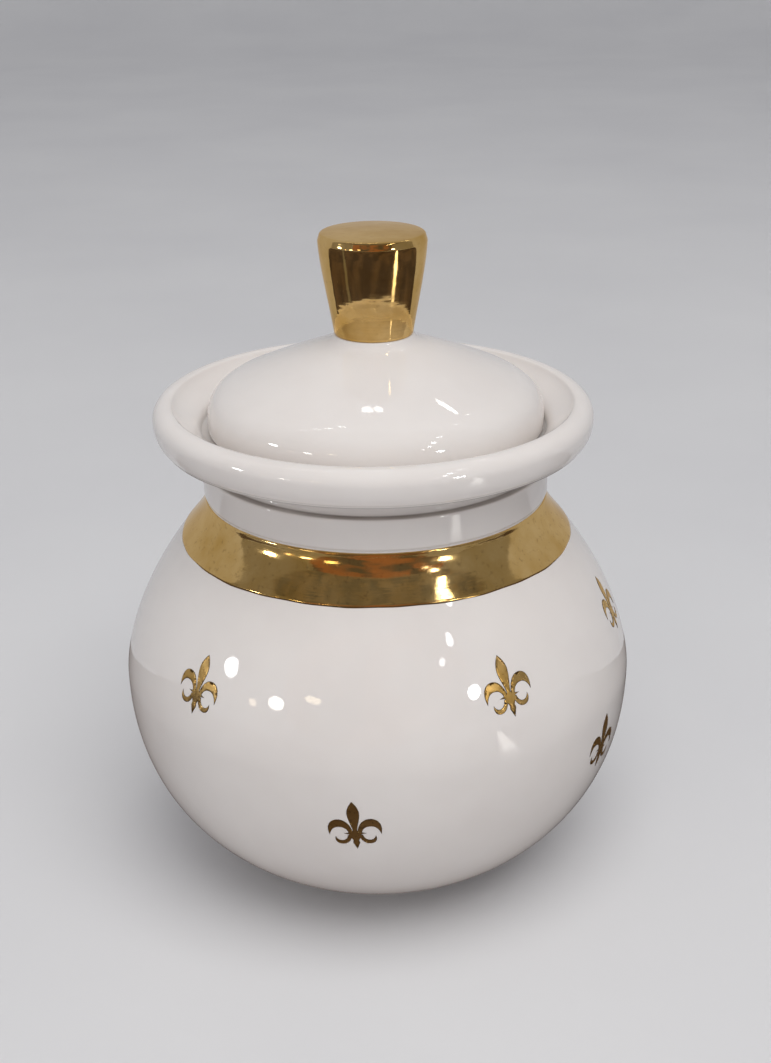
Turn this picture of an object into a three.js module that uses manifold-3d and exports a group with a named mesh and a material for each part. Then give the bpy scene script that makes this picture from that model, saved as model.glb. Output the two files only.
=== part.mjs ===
// Lidded sugar bowl: a round glazed bowl with a thick flared rim, a gold shoulder band and
// gold fleur-de-lis, and a domed lid with a gold knob. Millimetres, +Z up, table at z = 0,
// the bowl's axis on the Z axis, the front of the bowl towards -Y.
import * as THREE from "three";
import { mergeVertices } from "three/addons/utils/BufferGeometryUtils.js";
import Module from "manifold-3d";

const wasm = await Module();
wasm.setup();

// ---------- driving dimensions ----------

// bowl: two half superellipses that meet at the belly
const BELLY_RADIUS = 48;
const LOWER_DEPTH = 43.5;
const LOWER_POWER = 2.2;
const UPPER_RISE = 49.6;
const UPPER_POWER = 1.6;
const WALL = 4;
const FLOOR_HEIGHT = 5.6;
const FLOOR_POWER = 2.6;

// foot ring
const FOOT_RADIUS = 22.4;
const FOOT_WIDTH = 3.6;
const FOOT_RECESS = 1.8;
const FOOT_ROUNDING = 0.8;
const FOOT_STAND = 1.37;
const FOOT_FLARE = 0.4;

// neck: a raised collar with a recessed waist above it
const NECK_RADIUS = 31.8;
const NECK_WALL = 3.8;
const NECK_STAND = 3.0;
const COLLAR_HEIGHT = 5.9;
const COLLAR_ROUNDING = 0.6;
const WAIST_DEPTH = 1.3;
const WAIST_HEIGHT = 2.9;
const WAIST_FILLET = 1.6;
const GLAZE_TUCK = 0.3;

// flared rim above the neck, with a ledge inside for the lid
const RIM_OVERHANG = 8.2;
const RIM_EDGE_INSET = 1.5;
const RIM_UNDERSIDE_RISE = 2.1;
const LIP_THICKNESS = 5.3;
const LIP_HEIGHT = 6.4;
const LIP_TURN = 100;
const LIP_INNER_ROUNDING = 0.8;
const LIP_INNER_TURN = 145;
const FLARE_TOE = 0.5;
const LEDGE_WIDTH = 3.3;
const LEDGE_HEIGHT = 1.0;
const INNER_ROUNDING = 1.2;

// lid
const LID_CLEARANCE = 0.7;
const SEAT_GAP = 0.1;
const LID_EDGE_ROUNDING = 0.8;
const LID_EDGE_HEIGHT = 2.5;
const LID_SHOULDER_WIDTH = 4.5;
const LID_SHOULDER_RISE = 8.7;
const LID_SHOULDER_BULGE = 3.4;
const LID_SHOULDER_DROP = 1.3;
const LID_SHOULDER_EASE = 0.16;
const LID_DOME_BULGE = 0.035;
const LID_CROWN_RISE = 15.1;
const LID_LANDING_RISE = 17.1;
const LID_FILLET = 3.1;
const LID_WALL = 3.6;
const LID_LANDING_MARGIN = 0.1;
const LID_UNDER_BOW = 0.8;
const LID_HOLE_RADIUS = 5;
const FLANGE_CLEARANCE = 0.8;
const FLANGE_WALL = 3;
const FLANGE_DEPTH = 6;
const FLANGE_ROUNDING = 0.7;

// knob
const KNOB_BASE_RADIUS = 7.1;
const KNOB_TOP_RADIUS = 9.7;
const KNOB_HEIGHT = 18.4;
const KNOB_EDGE = 0.6;
const KNOB_EDGE_START = 15;
const KNOB_TUCK = 0.25;
const KNOB_TUCK_RISE = 0.9;
const KNOB_TUCK_REACH = 0.35;
const KNOB_CROWN = 0.35;
const KNOB_WALL = 2.6;
const KNOB_LOWER_FLARE = 0.9;
const KNOB_LOWER_REACH = 0.3;
const KNOB_UPPER_FLARE = 0.2;
const KNOB_UPPER_REACH = 0.22;
const KNOB_HOLLOW_TAPER = 0.6;
const KNOB_GAP = 0.1;
const SPIGOT_CLEARANCE = 0.15;
const DRAIN_RADIUS = 2.4;
const HOLLOW_CHAMFER = 1.5;

// fired-on gold: skins that stand a hair above the glaze
const BAND_RISE = 8.26;
const SKIN_GAP = 0.05;
const SKIN_THICKNESS = 0.2;

// fleur-de-lis: transfers laid on by hand in two loose rows. Each has the angle round from the
// front, the drop of its knot and its lean to the left. The upper row drops from the gold band
// and the lower row from the widest circle.
const FLEUR_SCALE = 1;
const UPPER_ROW = [[-43, 17.1, -5], [29.4, 15.1, 6], [77.5, 13.7, -4], [155, 15.5, 3], [234, 16.2, -4]];
const LOWER_ROW = [[-5.1, 11.1, 4], [58.2, 7.9, -8], [126, 10.2, -3], [195, 9, 2], [262, 10.6, 5]];

// facets
const SEGMENTS = 48;
const KNOB_SEGMENTS = 32;
const BELLY_STEPS = 8;

// ---------- materials ----------

const glaze = new THREE.MeshStandardMaterial({ color: 0xe6dfda, roughness: 0.12, metalness: 0 });
const gold = new THREE.MeshStandardMaterial({ color: 0xc39a45, roughness: 0.15, metalness: 1 });

// ---------- profile helpers, all in (radius, height) ----------

const at = (radius, height) => new THREE.Vector2(radius, height);

function arc(centre, radius, fromDegrees, toDegrees, steps) {
  const from = THREE.MathUtils.degToRad(fromDegrees);
  const to = THREE.MathUtils.degToRad(toDegrees);
  const curve = new THREE.EllipseCurve(centre.x, centre.y, radius, radius, from, to, to < from);
  return curve.getPoints(steps);
}

function bezier(p0, p1, p2, p3, steps) {
  return new THREE.CubicBezierCurve(p0, p1, p2, p3).getPoints(steps);
}

// Radius of a superellipse at a rise above (or depth below) its widest circle.
function superRadius(radius, extent, power, rise) {
  return radius * Math.pow(1 - Math.pow(Math.abs(rise) / extent, power), 1 / power);
}

// Rise at which a superellipse has shrunk to a radius.
function superRise(radius, extent, power, atRadius) {
  return extent * Math.pow(1 - Math.pow(atRadius / radius, power), 1 / power);
}

const footTopRadius = FOOT_RADIUS + FOOT_FLARE;
const bellyHeight = FOOT_STAND + superRise(BELLY_RADIUS, LOWER_DEPTH, LOWER_POWER, footTopRadius);

// Points of a half superellipse from one rise to another, even in the angle of its sweep.
function superArc(radius, extent, power, fromRise, toRise, steps) {
  const angle = (rise) => Math.asin(THREE.MathUtils.clamp(rise / extent, -1, 1));
  const points = [];
  for (let i = 0; i <= steps; i += 1) {
    const rise = extent * Math.sin(THREE.MathUtils.lerp(angle(fromRise), angle(toRise), i / steps));
    points.push(at(superRadius(radius, extent, power, rise), bellyHeight + rise));
  }
  return points;
}

// The profile moved outwards by a distance, each point along its own normal.
function offset(points, distance) {
  return points.map((point, i) => {
    const before = points[Math.max(i - 1, 0)];
    const after = points[Math.min(i + 1, points.length - 1)];
    const along = after.clone().sub(before).normalize();
    return at(point.x + along.y * distance, point.y - along.x * distance);
  });
}

// Drops points that repeat the one before them.
function joined(...runs) {
  const same = (a, b) => a.distanceTo(b) < 1e-6;
  return runs.flat().filter((point, i, all) => i === 0 || !same(point, all[i - 1]));
}

function lathe(points, segments) {
  return new THREE.LatheGeometry(points, segments).rotateX(Math.PI / 2);
}

// ---------- the bowl's outside, shared by the body and the gold on it ----------

const shoulderHeight = (radius) => (
  bellyHeight + superRise(BELLY_RADIUS, UPPER_RISE, UPPER_POWER, radius)
);
const neckFoot = shoulderHeight(NECK_RADIUS) + NECK_STAND;
const collarTop = neckFoot + COLLAR_HEIGHT;
const rimUnder = collarTop + WAIST_HEIGHT + RIM_UNDERSIDE_RISE;
const lipTop = rimUnder + LIP_HEIGHT;
const mouthRadius = NECK_RADIUS - NECK_WALL;
const rimRadius = NECK_RADIUS + RIM_OVERHANG;
const seatHeight = rimUnder + LEDGE_HEIGHT;
const ledgeRadius = mouthRadius + LEDGE_WIDTH;
const bandFoot = neckFoot - BAND_RISE;

function outerRadius(height) {
  const rise = height - bellyHeight;
  return rise > 0
    ? superRadius(BELLY_RADIUS, UPPER_RISE, UPPER_POWER, rise)
    : superRadius(BELLY_RADIUS, LOWER_DEPTH, LOWER_POWER, rise);
}

// Unit direction up the outside of the belly at a height.
function slopeAt(height) {
  const nearby = 0.05;
  const lower = at(outerRadius(height - nearby), height - nearby);
  const upper = at(outerRadius(height + nearby), height + nearby);
  return upper.sub(lower).normalize();
}

// From the foot up to the lower edge of the gold band.
const bellyProfile = joined(
  superArc(
    BELLY_RADIUS, LOWER_DEPTH, LOWER_POWER,
    -superRise(BELLY_RADIUS, LOWER_DEPTH, LOWER_POWER, footTopRadius), 0, BELLY_STEPS,
  ),
  superArc(BELLY_RADIUS, UPPER_RISE, UPPER_POWER, 0, bandFoot - bellyHeight, BELLY_STEPS),
);

// From the lower edge of the gold band up to the foot of the neck.
function shoulderProfile() {
  const start = bellyProfile[bellyProfile.length - 1];
  const end = at(NECK_RADIUS - GLAZE_TUCK, neckFoot - GLAZE_TUCK);
  const slope = slopeAt(bandFoot);
  const reach = start.distanceTo(end) / 3;
  const leave = start.clone().addScaledVector(slope, reach);
  const arrive = at(NECK_RADIUS, end.y - reach);
  return bezier(start, leave, arrive, end, 6);
}

// ---------- bowl ----------

function bowlProfile() {
  const foot = joined(
    [at(0, FOOT_RECESS), at(FOOT_RADIUS - FOOT_WIDTH - FOOT_ROUNDING, FOOT_RECESS)],
    [at(FOOT_RADIUS - FOOT_WIDTH, 0)],
    arc(at(FOOT_RADIUS - FOOT_ROUNDING, FOOT_ROUNDING), FOOT_ROUNDING, -90, 0, 3),
  );
  const collar = joined(
    arc(at(NECK_RADIUS - COLLAR_ROUNDING, neckFoot + COLLAR_ROUNDING), COLLAR_ROUNDING, -60, 0, 2),
    arc(at(NECK_RADIUS - COLLAR_ROUNDING, collarTop - COLLAR_ROUNDING), COLLAR_ROUNDING, 0, 70, 2),
  );
  const waistRadius = NECK_RADIUS - WAIST_DEPTH;
  const waistTop = collarTop + WAIST_HEIGHT;
  const edge = at(rimRadius - RIM_EDGE_INSET, rimUnder);
  const waist = joined(
    [at(waistRadius, collarTop)],
    bezier(
      at(waistRadius, waistTop - WAIST_FILLET), at(waistRadius, waistTop),
      at(waistRadius + WAIST_FILLET, waistTop + GLAZE_TUCK), at(edge.x, edge.y - GLAZE_TUCK), 5,
    ),
  );
  const lipRadius = LIP_THICKNESS / 2;
  const lipCentre = at(rimRadius - lipRadius, lipTop - lipRadius);
  const rimFace = bezier(
    edge, at(rimRadius - RIM_EDGE_INSET / 2, edge.y + GLAZE_TUCK),
    at(rimRadius, edge.y + RIM_EDGE_INSET), at(rimRadius, lipCentre.y), 4,
  );
  const turn = THREE.MathUtils.degToRad(LIP_TURN);
  const inwards = LIP_INNER_ROUNDING - lipRadius;
  const innerCentre = at(
    lipCentre.x - Math.cos(turn) * inwards, lipCentre.y - Math.sin(turn) * inwards,
  );
  const lip = joined(
    arc(lipCentre, lipRadius, 0, LIP_TURN, 6),
    arc(innerCentre, LIP_INNER_ROUNDING, LIP_TURN, LIP_INNER_TURN, 2),
  );
  const flareStart = lip[lip.length - 1];
  const flareFoot = at(ledgeRadius, seatHeight);
  const flareReach = flareStart.distanceTo(flareFoot) / 3;
  const flareAngle = THREE.MathUtils.degToRad(LIP_INNER_TURN);
  const flareSlope = at(-Math.sin(flareAngle), Math.cos(flareAngle));
  const flare = bezier(
    flareStart, flareStart.clone().addScaledVector(flareSlope, flareReach),
    at(flareFoot.x + FLARE_TOE, flareFoot.y + flareReach), flareFoot, 5,
  );
  const ledge = arc(
    at(mouthRadius + INNER_ROUNDING, seatHeight - INNER_ROUNDING), INNER_ROUNDING, 90, 180, 3,
  );
  return joined(
    foot, bellyProfile, shoulderProfile(), collar, waist, rimFace, lip, flare, ledge,
    insideProfile(),
  );
}

// The hollow, from the mouth down to the middle of the floor.
function insideProfile() {
  const insideRadius = BELLY_RADIUS - WALL;
  const insideRise = UPPER_RISE - WALL;
  const insideDepth = bellyHeight - FLOOR_HEIGHT;
  const mouthRise = superRise(insideRadius, insideRise, UPPER_POWER, mouthRadius);
  const upper = superArc(insideRadius, insideRise, UPPER_POWER, mouthRise, 0, 6);
  const lower = superArc(insideRadius, insideDepth, FLOOR_POWER, 0, -insideDepth, 7);
  return joined(upper, lower.slice(0, -1), [at(0, FLOOR_HEIGHT)]);
}

// ---------- gold skins ----------

// A closed ring that follows a stretch of the bowl's outside.
function skinProfile(points) {
  const inner = offset(points, SKIN_GAP);
  const outer = offset(points, SKIN_GAP + SKIN_THICKNESS);
  return [...outer, ...inner.reverse(), outer[0].clone()];
}

function toSolid(geometry) {
  const bare = geometry.clone();
  bare.deleteAttribute("normal");
  bare.deleteAttribute("uv");
  const merged = mergeVertices(bare, 1e-4);
  return new wasm.Manifold(new wasm.Mesh({
    numProp: 3,
    vertProperties: new Float32Array(merged.attributes.position.array),
    triVerts: new Uint32Array(merged.index.array),
  }));
}

function toGeometry(solid) {
  const mesh = solid.getMesh();
  const geometry = new THREE.BufferGeometry();
  geometry.setAttribute("position", new THREE.BufferAttribute(mesh.vertProperties, 3));
  geometry.setIndex(new THREE.BufferAttribute(mesh.triVerts, 1));
  geometry.computeVertexNormals();
  return geometry;
}

// ---------- fleur-de-lis ----------

// A closed outline from a start point and cubic stretches [c1x, c1y, c2x, c2y, x, y].
function outline(startX, startY, stretches) {
  const shape = new THREE.Shape();
  shape.moveTo(startX, startY);
  for (const stretch of stretches) {
    shape.bezierCurveTo(...stretch);
  }
  return shape;
}

function mirrored(shape, curveSteps) {
  return new THREE.Shape(shape.getPoints(curveSteps).map((p) => new THREE.Vector2(-p.x, p.y)).reverse());
}

function polygon(points) {
  return new THREE.Shape(points.map(([x, y]) => new THREE.Vector2(x, y)));
}

const CURVE_STEPS = 3;
const FLEUR_DEPTH = 6;

const leaf = outline(0, 7, [
  [-0.7, 6.2, -1.15, 5.2, -1.08, 4.2],
  [-1, 2.9, -0.45, 1.8, -0.3, 0],
  [-0.1, -0.05, 0.1, -0.05, 0.3, 0],
  [0.45, 1.8, 1, 2.9, 1.08, 4.2],
  [1.15, 5.2, 0.7, 6.2, 0, 7],
]);
const petal = outline(0.3, -0.2, [
  [0.8, -0.5, 1, -0.5, 1.1, -0.2],
  [1.2, 0.9, 1.8, 1.5, 2.75, 1.5],
  [3.7, 1.5, 4.2, 0.7, 4.45, -0.4],
  [5, 1.6, 4.3, 3.1, 2.9, 3.2],
  [1.1, 3.3, 0.45, 1.2, 0.3, -0.2],
]);
const crescent = outline(0.6, -0.6, [
  [0.9, -1.9, 1.5, -2.5, 2.3, -2.55],
  [3.2, -2.6, 3.85, -1.8, 3.45, -0.65],
  [3.3, -1.3, 2.9, -1.7, 2.35, -1.65],
  [1.8, -1.6, 1.4, -1.1, 1.3, -0.4],
  [1.1, -0.3, 0.8, -0.3, 0.6, -0.6],
]);
const nub = polygon([[0.6, -0.35], [2, -0.02], [0.6, 0.3]]);
const knot = polygon([
  [0, -3.9], [0.6, -2.3], [0.5, -1.7], [0.9, -0.9], [1, 0.1], [0, 0.95],
  [-1, 0.1], [-0.9, -0.9], [-0.5, -1.7], [-0.6, -2.3],
]);

function fleurSolid() {
  const sides = [petal, crescent, nub];
  const shapes = [leaf, knot, ...sides, ...sides.map((shape) => mirrored(shape, CURVE_STEPS))];
  const settings = { depth: FLEUR_DEPTH, bevelEnabled: false, curveSegments: CURVE_STEPS };
  return shapes
    .map((shape) => new THREE.ExtrudeGeometry(shape, settings))
    .map((prism) => prism.translate(0, 0, -FLEUR_DEPTH / 2).scale(FLEUR_SCALE, FLEUR_SCALE, 1))
    .map(toSolid)
    .reduce((whole, part) => whole.add(part));
}

const fleur = fleurSolid();
const bellySkin = toSolid(lathe(skinProfile(bellyProfile), SEGMENTS));

// The drawing stands square to the bowl at its place, leans, and is cut to the skin there.
function fleurGeometry([angleDegrees, drop, leanDegrees], rowHeight) {
  const height = rowHeight - drop;
  const angle = THREE.MathUtils.degToRad(angleDegrees);
  const lean = new THREE.Matrix4().makeRotationZ(THREE.MathUtils.degToRad(leanDegrees));
  const along = slopeAt(height);
  const radial = new THREE.Vector3(Math.sin(angle), -Math.cos(angle), 0);
  const sideways = new THREE.Vector3(Math.cos(angle), Math.sin(angle), 0);
  const upwards = radial.clone().multiplyScalar(along.x).add(new THREE.Vector3(0, 0, along.y));
  const outwards = new THREE.Vector3().crossVectors(sideways, upwards);
  const place = radial.clone().multiplyScalar(outerRadius(height)).setZ(height);
  const stand = new THREE.Matrix4().makeBasis(sideways, upwards, outwards).setPosition(place);
  const matrix = stand.multiply(lean);
  return toGeometry(fleur.transform(matrix.elements).intersect(bellySkin));
}

// ---------- lid ----------

const lidRadius = ledgeRadius - LID_CLEARANCE;
const lidBase = seatHeight + SEAT_GAP;
const lidLanding = lidBase + LID_LANDING_RISE;
const flangeRadius = mouthRadius - FLANGE_CLEARANCE;

function lidTopProfile() {
  const shoulder = at(lidRadius - LID_SHOULDER_WIDTH, lidBase + LID_SHOULDER_RISE);
  const crown = at(KNOB_BASE_RADIUS + LID_FILLET, lidBase + LID_CROWN_RISE);
  const slope = crown.clone().sub(shoulder);
  const rounded = bezier(
    at(lidRadius, lidBase + LID_EDGE_HEIGHT),
    at(lidRadius, lidBase + LID_EDGE_HEIGHT + LID_SHOULDER_BULGE),
    at(shoulder.x - slope.x * LID_SHOULDER_EASE, shoulder.y - LID_SHOULDER_DROP), shoulder, 6,
  );
  const bulge = at(0, slope.y * LID_DOME_BULGE);
  const middle = bezier(
    shoulder, shoulder.clone().lerp(crown, 1 / 3).add(bulge),
    shoulder.clone().lerp(crown, 2 / 3).add(bulge), crown, 4,
  );
  const landingRadius = KNOB_BASE_RADIUS + LID_LANDING_MARGIN;
  const ease = LID_FILLET / 6;
  const fillet = bezier(
    crown, at(crown.x - ease * 3, crown.y + ease),
    at(landingRadius + ease, lidLanding - ease * 2), at(landingRadius, lidLanding), 4,
  );
  return joined(rounded, middle, fillet);
}

function lidProfile() {
  const edge = arc(
    at(lidRadius - LID_EDGE_ROUNDING, lidBase + LID_EDGE_ROUNDING), LID_EDGE_ROUNDING, -90, 0, 3,
  );
  const flangeInside = flangeRadius - FLANGE_WALL;
  const flangeFoot = lidBase - FLANGE_DEPTH;
  const flange = joined(
    arc(at(flangeRadius - FLANGE_ROUNDING, flangeFoot + FLANGE_ROUNDING), FLANGE_ROUNDING, -90, 0, 3),
    [at(flangeRadius, lidBase)],
  );
  const underShoulder = at(flangeInside, lidBase + LID_SHOULDER_RISE - LID_WALL);
  const underCrown = at(LID_HOLE_RADIUS, lidLanding - LID_WALL);
  const bow = at(0, LID_UNDER_BOW);
  const underside = bezier(
    underCrown, underCrown.clone().lerp(underShoulder, 1 / 3).add(bow),
    underCrown.clone().lerp(underShoulder, 2 / 3).add(bow), underShoulder, 5,
  );
  const insideFoot = [
    at(flangeInside, flangeFoot + FLANGE_ROUNDING),
    at(flangeInside + FLANGE_ROUNDING, flangeFoot),
  ];
  const start = at(flangeRadius - FLANGE_ROUNDING, flangeFoot);
  return joined(
    [start], flange, edge, lidTopProfile(), [at(LID_HOLE_RADIUS, lidLanding)],
    underside, insideFoot, [start.clone()],
  );
}

// ---------- knob ----------

function knobProfile() {
  const base = lidLanding + KNOB_GAP;
  const top = base + KNOB_HEIGHT;
  const spigotRadius = LID_HOLE_RADIUS - SPIGOT_CLEARANCE;
  const spigotFoot = lidLanding - LID_WALL;
  const edgeCentre = at(KNOB_TOP_RADIUS - KNOB_TUCK - KNOB_EDGE, top - KNOB_CROWN - KNOB_EDGE);
  const widest = at(KNOB_TOP_RADIUS, edgeCentre.y - KNOB_TUCK_RISE);
  const side = bezier(
    at(KNOB_BASE_RADIUS, base),
    at(KNOB_BASE_RADIUS + KNOB_LOWER_FLARE, base + KNOB_HEIGHT * KNOB_LOWER_REACH),
    at(KNOB_TOP_RADIUS - KNOB_UPPER_FLARE, widest.y - KNOB_HEIGHT * KNOB_UPPER_REACH),
    widest, 7,
  );
  const edge = arc(edgeCentre, KNOB_EDGE, KNOB_EDGE_START, 80, 3);
  const lean = THREE.MathUtils.degToRad(KNOB_EDGE_START);
  const tuckEnd = at(Math.sin(lean), -Math.cos(lean)).multiplyScalar(KNOB_TUCK_REACH).add(edge[0]);
  const tuck = bezier(widest, widest.clone().add(at(0, KNOB_TUCK_REACH)), tuckEnd, edge[0], 3);
  const halfway = at(KNOB_TOP_RADIUS / 2, top - KNOB_CROWN / 4);
  const crown = [halfway, at(0, top)];
  const hollowTop = top - KNOB_CROWN - KNOB_WALL;
  const hollowRadius = KNOB_TOP_RADIUS - KNOB_WALL - KNOB_HOLLOW_TAPER;
  const hollow = [
    at(0, hollowTop),
    at(hollowRadius - HOLLOW_CHAMFER, hollowTop),
    at(hollowRadius, hollowTop - HOLLOW_CHAMFER),
    at(KNOB_BASE_RADIUS - KNOB_WALL, base + KNOB_WALL),
    at(DRAIN_RADIUS, base),
    at(DRAIN_RADIUS, spigotFoot),
    at(spigotRadius, spigotFoot),
    at(spigotRadius, base),
  ];
  const outside = joined(side, tuck, edge, crown);
  return { outside, hollow };
}

// ---------- the assembly ----------

const sugarBowl = new THREE.Group();

function addPiece(parent, name, geometry, material) {
  const mesh = new THREE.Mesh(geometry, material);
  mesh.name = name;
  parent.add(mesh);
}

const bowl = new THREE.Group();
addPiece(bowl, "bowl_body", lathe(bowlProfile(), SEGMENTS), glaze);
addPiece(bowl, "shoulder_band", lathe(skinProfile(shoulderProfile()), SEGMENTS), gold);
const rows = [["fleur_upper", UPPER_ROW, bandFoot], ["fleur_lower", LOWER_ROW, bellyHeight]];
for (const [name, row, rowHeight] of rows) {
  row.forEach((place, i) => {
    addPiece(bowl, `${name}_${i + 1}`, fleurGeometry(place, rowHeight), gold);
  });
}

const lid = new THREE.Group();
addPiece(lid, "lid_dome", lathe(lidProfile(), SEGMENTS), glaze);
const knob = knobProfile();
const knobOutline = [...knob.hollow.slice().reverse().slice(0, 1), ...knob.outside, ...knob.hollow];
addPiece(lid, "lid_knob", lathe(joined(knobOutline), KNOB_SEGMENTS), gold);

sugarBowl.add(bowl, lid);

export default sugarBowl;
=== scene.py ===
"""Lidded sugar bowl: a glazed bowl and lid with fired-on gold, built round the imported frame."""
import math

import bmesh
import bpy
from mathutils import Matrix, Vector, geometry


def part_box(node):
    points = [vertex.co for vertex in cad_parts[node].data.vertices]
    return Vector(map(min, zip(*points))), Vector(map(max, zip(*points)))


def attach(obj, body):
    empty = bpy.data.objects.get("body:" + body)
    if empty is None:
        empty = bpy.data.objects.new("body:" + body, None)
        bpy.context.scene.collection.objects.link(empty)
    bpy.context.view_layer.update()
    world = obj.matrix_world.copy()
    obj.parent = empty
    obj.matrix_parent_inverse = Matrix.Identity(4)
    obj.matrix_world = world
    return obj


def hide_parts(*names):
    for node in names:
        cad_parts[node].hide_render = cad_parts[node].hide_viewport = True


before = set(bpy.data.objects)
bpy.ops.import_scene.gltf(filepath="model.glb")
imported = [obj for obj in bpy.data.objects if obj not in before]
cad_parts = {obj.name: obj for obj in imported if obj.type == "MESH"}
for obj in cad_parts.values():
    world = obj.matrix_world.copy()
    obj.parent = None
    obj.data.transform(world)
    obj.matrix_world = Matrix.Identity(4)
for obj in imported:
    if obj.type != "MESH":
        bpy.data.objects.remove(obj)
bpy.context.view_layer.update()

# ---------- sizes, in millimetres; MM turns them into the scene's metres ----------

MM = 0.001


def node_box(name):
    """Lowest and highest corner of a frame node, in millimetres."""
    low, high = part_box(name)
    return Vector(low) / MM, Vector(high) / MM


body_low, body_high = node_box("bowl_body")
lid_low, lid_high = node_box("lid_dome")
knob_low, knob_high = node_box("lid_knob")

# bowl
BELLY_RADIUS = (body_high.x - body_low.x) / 2
BELLY_HEIGHT = 40.8
LOWER_DEPTH = 43.5
LOWER_POWER = 2.2
UPPER_RISE = 49.6
UPPER_POWER = 1.6
WALL = 4
FLOOR_HEIGHT = 5.6
FLOOR_POWER = 2.6
FOOT_RADIUS = 22.4
FOOT_WIDTH = 3.6
FOOT_RECESS = 1.8
FOOT_ROUNDING = 0.8
FOOT_FLARE = 0.4
FOOT_FLAT_INSET = 3
# the cove inside the foot ring: steps out from the ring's inside, and heights
FOOT_COVE = ((-2, FOOT_RECESS), (-1, FOOT_RECESS), (-0.3, 0.3), (0.5, 0))
FOOT_TURN_END = -5
NECK_RADIUS = 31.8
NECK_WALL = 3.8
NECK_STAND = 3.0
COLLAR_HEIGHT = 5.9
COLLAR_ROUNDING = 0.6
COLLAR_TURN_START = -60
COLLAR_TURN_END = 70
WAIST_DEPTH = 1.3
WAIST_HEIGHT = 2.9
WAIST_FILLET = 1.6
GLAZE_TUCK = 0.3
RIM_OVERHANG = 8.2
RIM_EDGE_INSET = 1.5
LIP_THICKNESS = 5.3
LIP_HEIGHT = 6.4
LIP_TURN = 100
LIP_INNER_ROUNDING = 0.8
LIP_INNER_TURN = 145
FLARE_TOE = 0.5
LEDGE_WIDTH = 3.3
LEDGE_HEIGHT = 1.0
INNER_ROUNDING = 1.2

# lid
LID_RADIUS = (lid_high.x - lid_low.x) / 2
LID_LANDING = lid_high.z
FLANGE_DEPTH = 6
LID_BASE = lid_low.z + FLANGE_DEPTH
LID_EDGE_ROUNDING = 0.8
LID_EDGE_HEIGHT = 2.5
LID_SHOULDER_WIDTH = 4.5
LID_SHOULDER_RISE = 8.7
LID_SHOULDER_BULGE = 3.4
LID_SHOULDER_DROP = 1.3
LID_SHOULDER_EASE = 0.16
LID_DOME_BULGE = 0.035
LID_CROWN_RISE = 15.1
LID_FILLET = 3.1
LID_WALL = 3.6
LID_LANDING_MARGIN = 0.1
LID_UNDER_BOW = 0.8
LID_HOLE_RADIUS = 5
FLANGE_CLEARANCE = 0.8
FLANGE_WALL = 3
FLANGE_ROUNDING = 0.7

# knob
KNOB_GAP = 0.1
KNOB_BASE = LID_LANDING + KNOB_GAP
KNOB_TOP = knob_high.z
KNOB_BASE_RADIUS = 7.1
KNOB_TOP_RADIUS = (knob_high.x - knob_low.x) / 2
KNOB_EDGE = 0.6
KNOB_EDGE_START = 15
KNOB_TUCK = 0.25
KNOB_TUCK_RISE = 0.9
KNOB_TUCK_REACH = 0.35
KNOB_EDGE_END = 80
KNOB_CROWN = 0.35
KNOB_CROWN_OUTER = 0.65
KNOB_CROWN_INNER = 0.3
KNOB_CROWN_DROP = 0.4
KNOB_WALL = 2.6
KNOB_LOWER_FLARE = 0.9
KNOB_LOWER_REACH = 0.3
KNOB_UPPER_FLARE = 0.2
KNOB_UPPER_REACH = 0.22
KNOB_HOLLOW_TAPER = 0.6
HOLLOW_CHAMFER = 1.5
SPIGOT_CLEARANCE = 0.15
SPIGOT_RADIUS = LID_HOLE_RADIUS - SPIGOT_CLEARANCE
DRAIN_RADIUS = 2.4

# fired-on gold
BAND_RISE = 8.26
BAND_THICKNESS = 0.12
BAND_FEATHER = 0.35
DECAL_THICKNESS = 0.07
DECAL_RIM_WIDTH = 0.09
DECAL_RIM_THINNING = 0.25
SUNK = 0.06
# angle from the front, drop of the knot from the band or from the widest circle, and lean
UPPER_ROW = [(-43, 17.1, -5), (29.4, 15.1, 6), (77.5, 13.7, -4), (155, 15.5, 3), (234, 16.2, -4)]
LOWER_ROW = [(-5.1, 11.1, 4), (58.2, 7.9, -8), (126, 10.2, -3), (195, 9, 2), (262, 10.6, 5)]

# mesh fineness
SEGMENTS = 320
KNOB_SEGMENTS = 160
FLOOR_STEPS = 48
INSIDE_STEPS = 36
LOWER_STEPS = 60
UPPER_STEPS = 44
SHOULDER_STEPS = 20
BAND_STEPS = 26
WAIST_STEPS = 18
RIM_FACE_STEPS = 14
LIP_STEPS = 20
FLARE_STEPS = 18
ROUNDING_STEPS = 8
SMALL_STEPS = 6
COLLAR_TOP_STEPS = 7
LID_SHOULDER_STEPS = 28
LID_DOME_STEPS = 40
LID_FILLET_STEPS = 12
LID_UNDER_STEPS = 30
KNOB_SIDE_STEPS = 40
KNOB_EDGE_STEPS = 12
KNOB_CROWN_STEPS = 14
TRACE_STEPS = 12
REPEAT_DISTANCE = 1e-5
AXIS_DISTANCE = 1e-4

# ---------- profiles, as (radius, height) points ----------


def arc(centre, radius, start, end, steps):
    points = []
    for i in range(steps + 1):
        a = math.radians(start + (end - start) * i / steps)
        points.append((centre[0] + radius * math.cos(a), centre[1] + radius * math.sin(a)))
    return points


def bezier(p0, p1, p2, p3, steps):
    points = []
    for i in range(steps + 1):
        t = i / steps
        s = 1 - t
        weights = (s * s * s, 3 * s * s * t, 3 * s * t * t, t * t * t)
        points.append(tuple(
            sum(w * p[k] for w, p in zip(weights, (p0, p1, p2, p3))) for k in (0, 1)
        ))
    return points


def super_radius(radius, extent, power, rise):
    return radius * max(0.0, 1 - (abs(rise) / extent) ** power) ** (1 / power)


def super_rise(radius, extent, power, at_radius):
    return extent * (1 - (at_radius / radius) ** power) ** (1 / power)


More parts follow.
